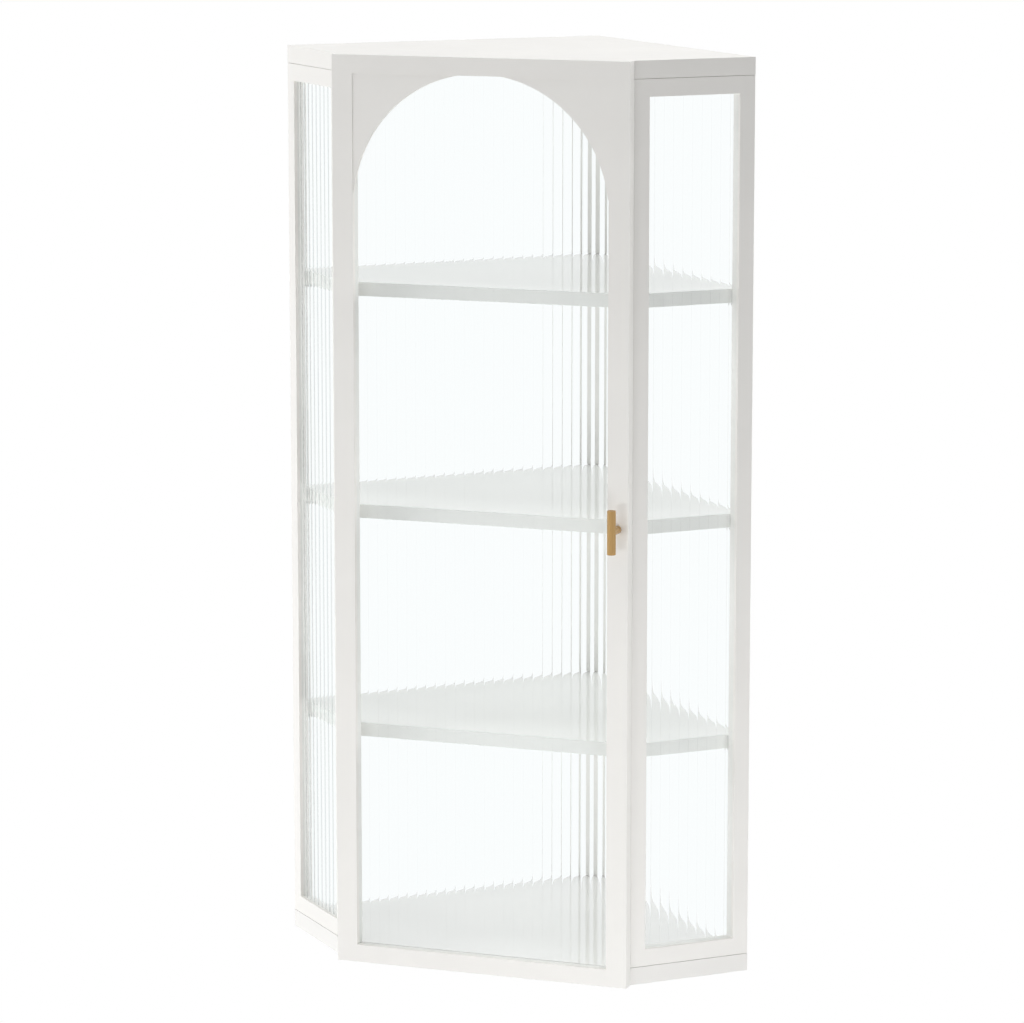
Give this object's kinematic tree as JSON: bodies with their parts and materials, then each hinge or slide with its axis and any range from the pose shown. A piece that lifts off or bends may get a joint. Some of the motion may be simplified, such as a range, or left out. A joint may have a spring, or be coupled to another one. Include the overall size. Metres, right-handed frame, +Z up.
{
  "type": "corner wall cabinet",
  "caption": "White five-sided cabinet for a room corner, with fluted glass sides, shelves on pins and a hinged glazed door with an arched head and a brass bar handle.",
  "frame": {"origin": "under the middle of the overall box, on the plane of the underside", "axes": "+Z up, +X to the right across the door, the door faces -Y and the room corner is at +Y"},
  "size_m": [0.5656, 0.4314, 1.05],
  "materials": {
    "white_paint": "warm white satin paint on fibreboard and wood",
    "fluted_glass": "clear glass with upright hollow flutes on one face",
    "satin_brass": "satin brushed",
    "zinc_steel": "zinc plated",
    "lacquered_steel": "warm white lacquer on steel",
    "beech": "bare fluted dowel"
  },
  "bodies": {
    "carcass": {"top_panel": "white_paint", "bottom_panel": "white_paint", "left_front_stile": "white_paint", "left_rear_stile": "white_paint", "left_bottom_rail": "white_paint", "left_top_rail": "white_paint", "left_glass": "fluted_glass", "right_front_stile": "white_paint", "right_rear_stile": "white_paint", "right_bottom_rail": "white_paint", "right_top_rail": "white_paint", "right_glass": "fluted_glass", "back_corner_post": "white_paint", "lower_shelf": "white_paint", "middle_shelf": "white_paint", "upper_shelf": "white_paint", "lower_shelf_left_front_pin": "zinc_steel", "lower_shelf_left_rear_pin": "zinc_steel", "lower_shelf_right_front_pin": "zinc_steel", "lower_shelf_right_rear_pin": "zinc_steel", "middle_shelf_left_front_pin": "zinc_steel", "middle_shelf_left_rear_pin": "zinc_steel", "middle_shelf_right_front_pin": "zinc_steel", "middle_shelf_right_rear_pin": "zinc_steel", "upper_shelf_left_front_pin": "zinc_steel", "upper_shelf_left_rear_pin": "zinc_steel", "upper_shelf_right_front_pin": "zinc_steel", "upper_shelf_right_rear_pin": "zinc_steel", "left_front_stile_bottom_dowel": "beech", "left_front_stile_top_dowel": "beech", "left_rear_stile_bottom_dowel": "beech", "left_rear_stile_top_dowel": "beech", "right_front_stile_bottom_dowel": "beech", "right_front_stile_top_dowel": "beech", "right_rear_stile_bottom_dowel": "beech", "right_rear_stile_top_dowel": "beech", "lower_hinge_frame_leaf": "lacquered_steel", "lower_hinge_pin": "lacquered_steel", "upper_hinge_frame_leaf": "lacquered_steel", "upper_hinge_pin": "lacquered_steel", "catch_magnet": "zinc_steel", "left_hanger_plate": "zinc_steel", "right_hanger_plate": "zinc_steel"},
    "door": {"door_hinge_stile": "white_paint", "door_handle_stile": "white_paint", "door_bottom_rail": "white_paint", "door_top_rail": "white_paint", "door_left_spandrel": "white_paint", "door_right_spandrel": "white_paint", "door_glass": "fluted_glass", "door_left_bead": "white_paint", "door_right_bead": "white_paint", "door_bottom_bead": "white_paint", "door_top_bead": "white_paint", "lower_hinge_door_leaf": "lacquered_steel", "upper_hinge_door_leaf": "lacquered_steel", "catch_strike": "zinc_steel", "handle_bar": "satin_brass", "handle_stem": "satin_brass", "handle_screw": "zinc_steel"}
  },
  "joints": [
    {"name": "door_hinge", "type": "hinge", "parent": "carcass", "child": "door", "pos_m": [-0.17888, -0.17412, 0.525], "axis": [0, 0, -1], "range_deg": [0, 120]}
  ]
}
